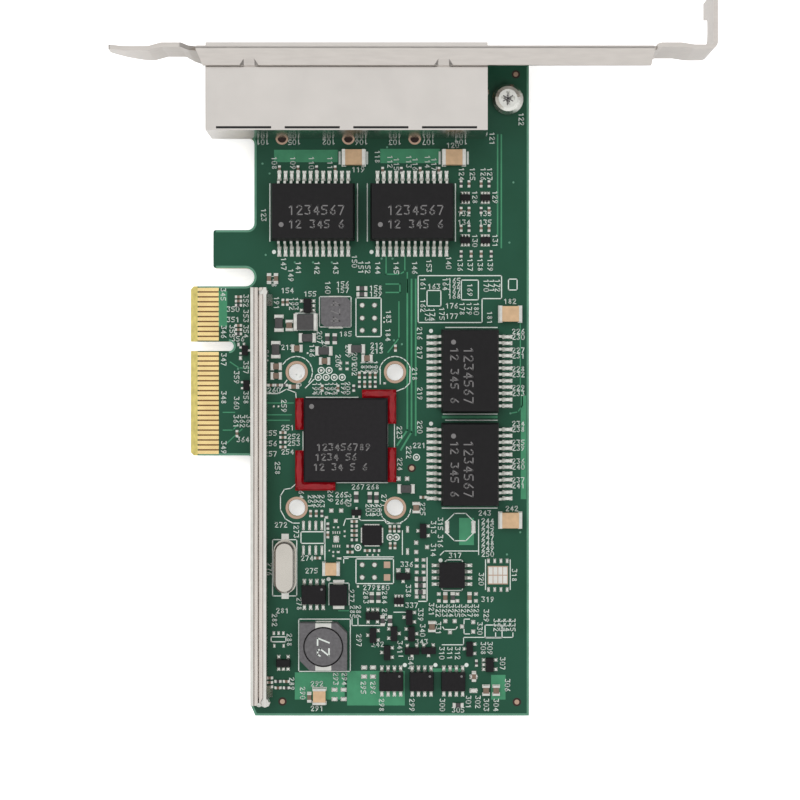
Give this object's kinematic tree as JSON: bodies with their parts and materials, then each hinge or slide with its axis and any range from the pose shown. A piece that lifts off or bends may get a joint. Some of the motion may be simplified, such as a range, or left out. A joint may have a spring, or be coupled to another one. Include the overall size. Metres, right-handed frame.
{
  "type": "network interface card",
  "caption": "Flat expansion card with a metal face bracket, a wide block of network ports, a square main chip, transformer modules and a gold edge connector.",
  "frame": {"origin": "middle of the key notch, on the edge connector's edge, halfway through the board", "axes": "+X across the board from the edge connector to the board's top edge; +Y along the board towards the face bracket; +Z out of the component side"},
  "size_m": [0.1191, 0.144, 0.0184],
  "materials": {
    "board_laminate": "green solder mask over glass laminate, satin gloss",
    "contact_gold": "hard gold plating, polished",
    "bracket_steel": "zinc-plated sheet steel, satin",
    "screw_steel": "nickel-plated, bright",
    "jack_metal": "tinned sheet metal, satin",
    "jack_plastic": "black moulded plastic, fine matte",
    "light_green": "translucent green light pipe, glossy",
    "light_amber": "translucent amber light pipe, glossy",
    "stiffener_steel": "tin-plated steel, bright satin",
    "solder": "frozen solder, bright and slightly uneven",
    "chip_mould": "black epoxy moulding, satin",
    "adhesive": "red epoxy adhesive, glossy",
    "transformer_mould": "black epoxy moulding, matte",
    "tinned_lead": "matte tin plating",
    "small_chip_mould": "black epoxy moulding, fine matte",
    "ferrite": "dark sintered ferrite, matte",
    "crystal_steel": "nickel-plated drawn can, satin",
    "ceramic_tan": "tan ceramic, satin",
    "ceramic_dark": "dark grey ceramic, satin",
    "ceramic_brown": "brown ceramic, satin",
    "end_cap": "tinned end metal, satin"
  },
  "bodies": {
    "root": {"circuit_board": "board_laminate", "edge_contacts": "contact_gold", "face_bracket": "bracket_steel", "bracket_screw": "screw_steel", "jack_shell": "jack_metal", "jack_housing": "jack_plastic", "jack_contacts": "contact_gold", "link_lights": "light_green", "activity_lights": "light_amber", "board_stiffener": "stiffener_steel", "stiffener_solder": "solder", "controller_chip": "chip_mould", "controller_balls": "solder", "corner_bond_upper_right": "adhesive", "corner_bond_lower_right": "adhesive", "corner_bond_upper_left": "adhesive", "corner_bond_lower_left": "adhesive", "transformer_1": "transformer_mould", "transformer_leads_1": "tinned_lead", "transformer_2": "transformer_mould", "transformer_leads_2": "tinned_lead", "transformer_3": "transformer_mould", "transformer_leads_3": "tinned_lead", "transformer_4": "transformer_mould", "transformer_leads_4": "tinned_lead", "memory_chip": "small_chip_mould", "memory_leads": "tinned_lead", "eight_pin_chips": "small_chip_mould", "eight_pin_leads": "tinned_lead", "transistors": "small_chip_mould", "transistor_leads": "tinned_lead", "gate_chips": "small_chip_mould", "gate_leads": "tinned_lead", "diode_arrays": "small_chip_mould", "diode_array_leads": "tinned_lead", "rectifier": "small_chip_mould", "rectifier_tabs": "tinned_lead", "regulator_chip": "small_chip_mould", "regulator_pads": "tinned_lead", "inductor_shield": "ferrite", "inductor_clips": "tinned_lead", "inductor_drum": "ferrite", "choke_core": "ferrite", "choke_clips": "tinned_lead", "crystal_can": "crystal_steel", "crystal_feet": "tinned_lead", "line_capacitors": "ceramic_tan", "line_capacitor_ends": "end_cap", "filter_capacitors": "ceramic_tan", "filter_capacitor_ends": "end_cap", "filter_bead": "ceramic_dark", "filter_bead_ends": "end_cap", "chip_resistors": "ceramic_dark", "chip_resistor_ends": "end_cap", "chip_capacitors": "ceramic_brown", "chip_capacitor_ends": "end_cap", "decoupling_capacitors": "ceramic_brown", "decoupling_ends": "end_cap"}
  },
  "joints": []
}
